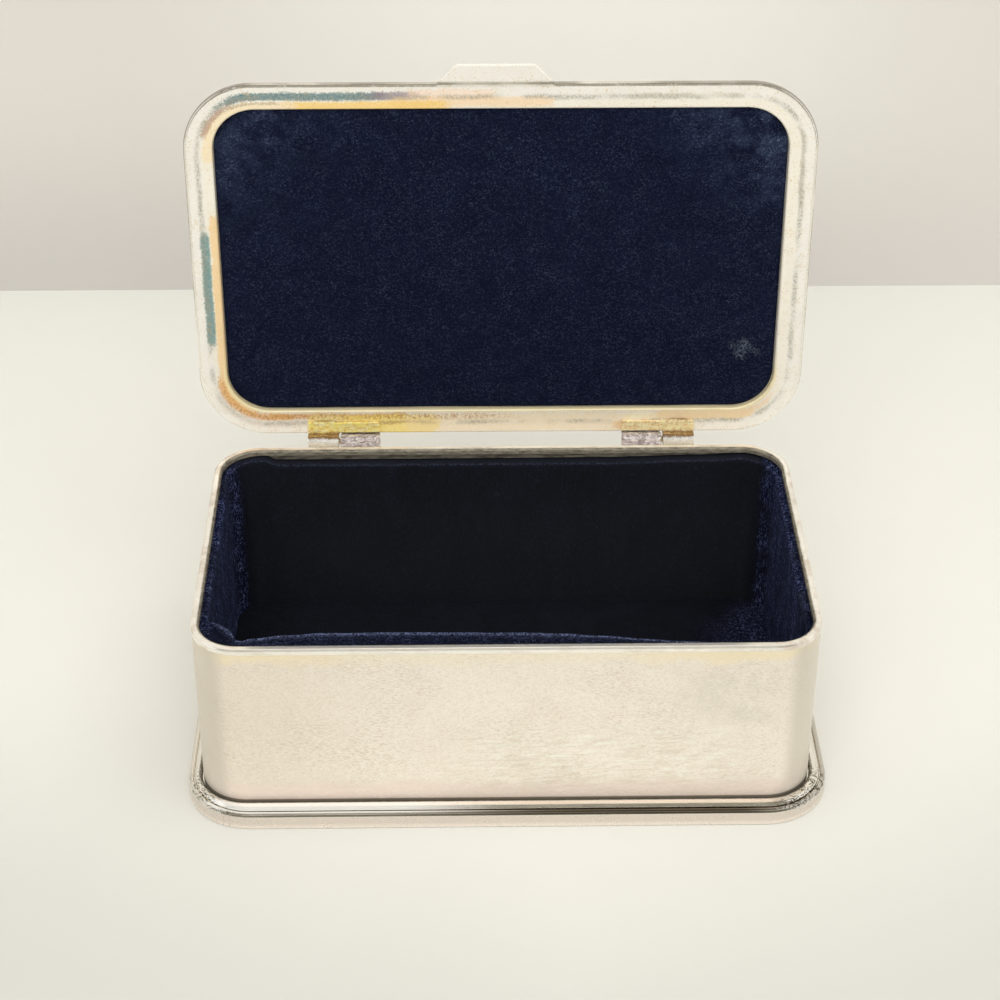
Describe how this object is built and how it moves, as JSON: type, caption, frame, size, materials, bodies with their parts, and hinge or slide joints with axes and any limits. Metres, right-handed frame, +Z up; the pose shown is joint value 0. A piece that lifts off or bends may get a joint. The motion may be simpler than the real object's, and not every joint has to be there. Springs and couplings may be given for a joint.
{
  "type": "trinket box",
  "caption": "Rectangular metal trinket box with rounded corners, a moulded foot, a velvet lining and a hinged lid with a thumbpiece, standing open.",
  "frame": {"origin": "on the table, under the middle of the box's rim", "axes": "+X to the right along the long side, the front faces -Y, the hinges are behind at +Y, +Z up"},
  "size_m": [0.1344, 0.0983, 0.1301],
  "materials": {
    "silver_plate": "worn silver plate over brass, satin from fine scratches",
    "silver_plate_bright": "silver plate over brass, polished, tarnished yellow in places",
    "hinge_metal": "silver plate over brass, worn and tarnished, soft solder at the joints",
    "pin_metal": "drawn brass wire",
    "blue_velvet": "short pile velvet",
    "lining_board": "grey board"
  },
  "bodies": {
    "box": {"bottom_plate": "silver_plate", "base_moulding": "silver_plate_bright", "body_wall": "silver_plate", "rim_wire": "silver_plate_bright", "floor_card": "lining_board", "floor_velvet": "blue_velvet", "lining_card_left": "lining_board", "lining_card_right": "lining_board", "lining_card_front": "lining_board", "lining_card_back": "lining_board", "lining_velvet_left": "blue_velvet", "lining_velvet_right": "blue_velvet", "lining_velvet_front": "blue_velvet", "lining_velvet_back": "blue_velvet", "hinge_body_knuckle_left": "hinge_metal", "hinge_body_knuckle_right": "hinge_metal", "hinge_pin_left": "pin_metal", "hinge_pin_right": "pin_metal"},
    "lid": {"lid_rim_frame": "silver_plate_bright", "lid_shell": "silver_plate", "thumbpiece": "silver_plate_bright", "lid_card": "lining_board", "lid_velvet": "blue_velvet", "hinge_lid_knuckle_left": "hinge_metal", "hinge_lid_knuckle_right": "hinge_metal"}
  },
  "joints": [
    {"name": "lid_hinge", "type": "hinge", "parent": "box", "child": "lid", "pos_m": [0, 0.0425, 0.0416], "axis": [1, 0, 0], "range_deg": [0, 92]}
  ]
}
